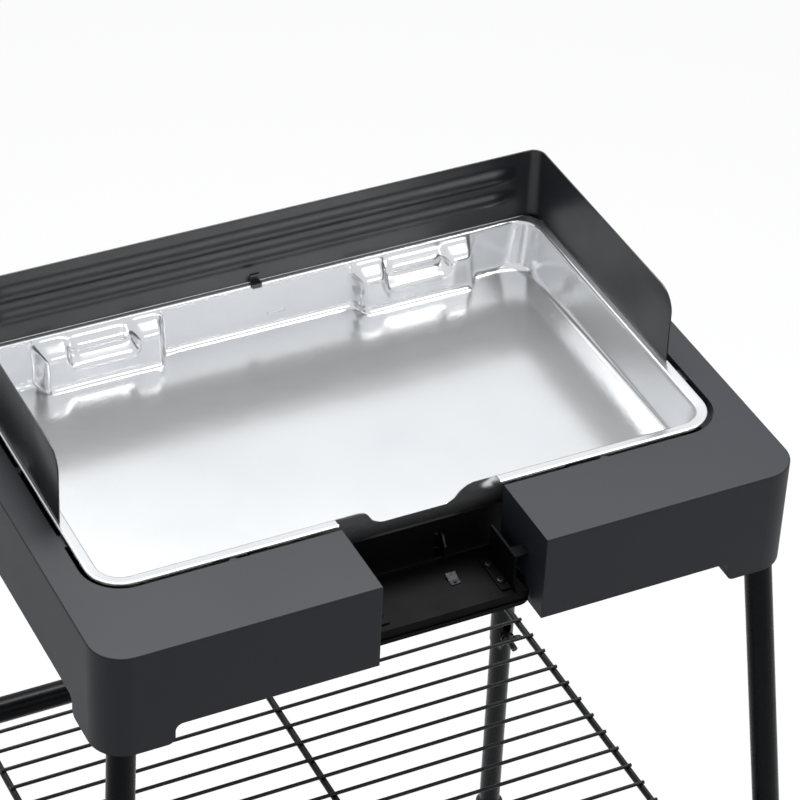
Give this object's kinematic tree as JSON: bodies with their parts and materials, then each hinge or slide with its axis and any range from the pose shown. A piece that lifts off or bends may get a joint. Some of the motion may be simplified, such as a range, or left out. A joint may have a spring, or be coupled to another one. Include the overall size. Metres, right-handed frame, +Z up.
{
  "type": "standing electric grill",
  "caption": "Free-standing electric grill without its heater: black housing with lift-out water tray, wind shield, control bay, wire shelf and splayed telescopic legs.",
  "frame": {"origin": "on the floor, under the middle of the housing and of the four feet", "axes": "+X to the right seen from the bay side, +Y to the back where the wind shield stands, +Z up"},
  "size_m": [0.651, 0.5862, 0.8568],
  "materials": {
    "housing": "fine grained, black-grey",
    "bay_sheet": "black, half matt",
    "dark_screw": "black zinc",
    "bright_strip": "bare spring steel",
    "plated": "zinc plated",
    "tray_metal": "bright pressed sheet",
    "shield_paint": "black, half matt",
    "socket_plastic": "black",
    "leg_paint": "black, glossy",
    "cap_plastic": "black",
    "black_fastener": "black zinc",
    "wire_paint": "black enamel"
  },
  "bodies": {
    "stand": {"housing_shell": "housing", "bay_floor": "bay_sheet", "guide_rail_left": "bay_sheet", "guide_rail_right": "bay_sheet", "inner_pan": "bay_sheet", "bay_screws": "dark_screw", "pan_screws": "dark_screw", "socket_screws": "dark_screw", "catch_strip": "bright_strip", "interlock_bracket": "plated", "interlock_pin": "plated", "interlock_spring": "plated", "leg_socket_front_left": "socket_plastic", "upper_leg_front_left": "leg_paint", "lower_leg_front_left": "leg_paint", "foot_cap_front_left": "cap_plastic", "leg_socket_front_right": "socket_plastic", "upper_leg_front_right": "leg_paint", "lower_leg_front_right": "leg_paint", "foot_cap_front_right": "cap_plastic", "leg_socket_rear_left": "socket_plastic", "upper_leg_rear_left": "leg_paint", "lower_leg_rear_left": "leg_paint", "foot_cap_rear_left": "cap_plastic", "leg_socket_rear_right": "socket_plastic", "upper_leg_rear_right": "leg_paint", "lower_leg_rear_right": "leg_paint", "foot_cap_rear_right": "cap_plastic", "leg_bolts": "black_fastener", "leg_washers": "black_fastener", "cross_tube_front": "leg_paint", "cross_tube_rear": "leg_paint", "tube_plugs": "cap_plastic", "cross_bolts": "black_fastener", "cross_nuts": "black_fastener"},
    "tray": {"water_tray": "tray_metal"},
    "shield": {"wind_shield": "shield_paint", "shield_clip": "shield_paint"},
    "shelf": {"shelf_rack": "wire_paint"},
    "interlock": {"interlock_blade": "bright_strip"},
    "wing_nut_front_left": {"wing_nut_front_left": "black_fastener"},
    "wing_nut_front_right": {"wing_nut_front_right": "black_fastener"},
    "wing_nut_rear_left": {"wing_nut_rear_left": "black_fastener"},
    "wing_nut_rear_right": {"wing_nut_rear_right": "black_fastener"}
  },
  "joints": [
    {"name": "tray_lift", "type": "slide", "parent": "stand", "child": "tray", "axis": [0, 0, 1], "range_m": [0, 0.12]},
    {"name": "shield_lift", "type": "slide", "parent": "tray", "child": "shield", "axis": [0, 0, 1], "range_m": [0, 0.08]},
    {"name": "shelf_lift", "type": "slide", "parent": "stand", "child": "shelf", "axis": [0, 0, 1], "range_m": [0, 0.05]},
    {"name": "interlock_tilt", "type": "hinge", "parent": "stand", "child": "interlock", "pos_m": [0.02195, -0.112, 0.742], "axis": [1, 0, 0], "range_deg": [-6, 0], "stiffness_Nm_per_rad": 0.01, "springref_deg": 17.19, "deforming": ["interlock_spring"]},
    {"name": "wing_nut_front_left_turn", "type": "hinge", "parent": "stand", "child": "wing_nut_front_left", "pos_m": [-0.29253, -0.23147, 0.26414], "axis": [-0.0094, 0.9921, -0.1255], "continuous": true},
    {"name": "wing_nut_front_right_turn", "type": "hinge", "parent": "stand", "child": "wing_nut_front_right", "pos_m": [0.29253, -0.23147, 0.26414], "axis": [0.0094, 0.9921, -0.1255], "continuous": true},
    {"name": "wing_nut_rear_left_turn", "type": "hinge", "parent": "stand", "child": "wing_nut_rear_left", "pos_m": [-0.29253, 0.23147, 0.26414], "axis": [-0.0094, -0.9921, -0.1255], "continuous": true},
    {"name": "wing_nut_rear_right_turn", "type": "hinge", "parent": "stand", "child": "wing_nut_rear_right", "pos_m": [0.29253, 0.23147, 0.26414], "axis": [0.0094, -0.9921, -0.1255], "continuous": true}
  ]
}
